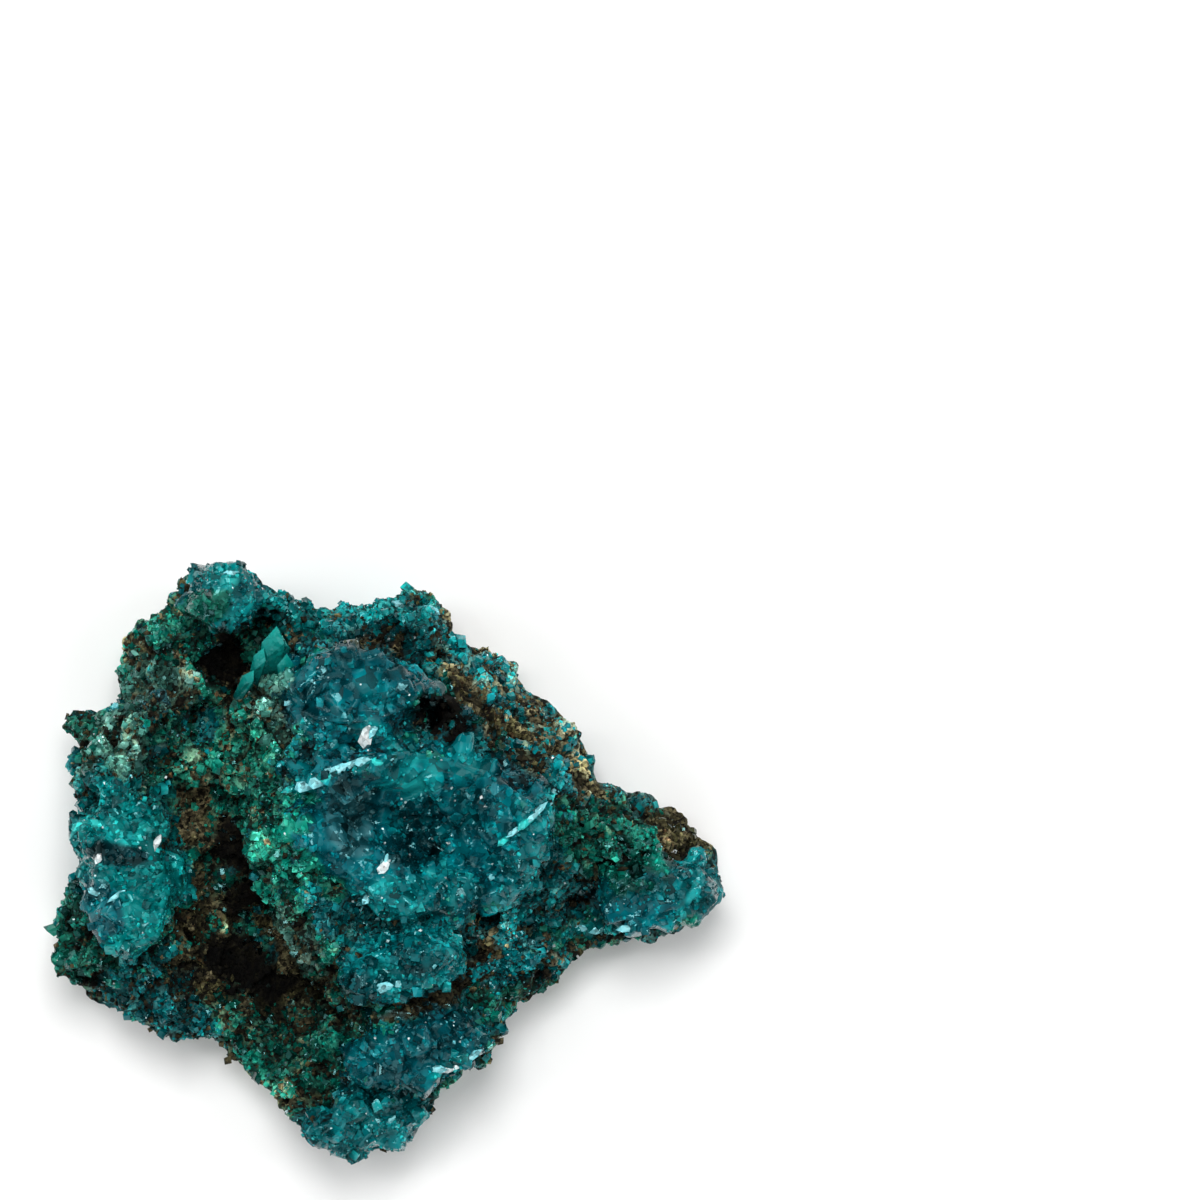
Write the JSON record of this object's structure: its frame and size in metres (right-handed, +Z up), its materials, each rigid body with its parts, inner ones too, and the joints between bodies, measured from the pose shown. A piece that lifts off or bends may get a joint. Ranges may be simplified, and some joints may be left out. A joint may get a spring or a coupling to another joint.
{
  "type": "dioptase specimen",
  "caption": "Craggy brown limonite rock crusted with blue-green dioptase crystals, with a crystal-lined hollow, a dark cavity, a long cleft and a tapering arm.",
  "frame": {"origin": "on the flat rest face at the bottom, under the middle of the outline", "axes": "+Z up, away from the surface it rests on; +X along the longest side, towards the pointed arm; +Y towards the round knob's side"},
  "size_m": [0.075, 0.0667, 0.0304],
  "materials": {
    "limonite_rock": "rough, earthy brown rock with a thin crust of tiny crystals",
    "dioptase": "deep blue-green crystal with bright flat faces",
    "pale_dioptase": "clear green-blue crystal"
  },
  "bodies": {
    "root": {"host_rock": "limonite_rock", "central_hollow_crystals": "dioptase", "upper_crystal_cluster": "dioptase", "left_lobe_crystals": "dioptase", "lower_ridge_crystals": "dioptase", "lower_crystal_cluster": "dioptase", "foot_crystal_cluster": "dioptase", "right_tip_crystals": "dioptase", "knob_crystals": "dioptase", "pointed_crystal": "pale_dioptase"}
  },
  "joints": []
}
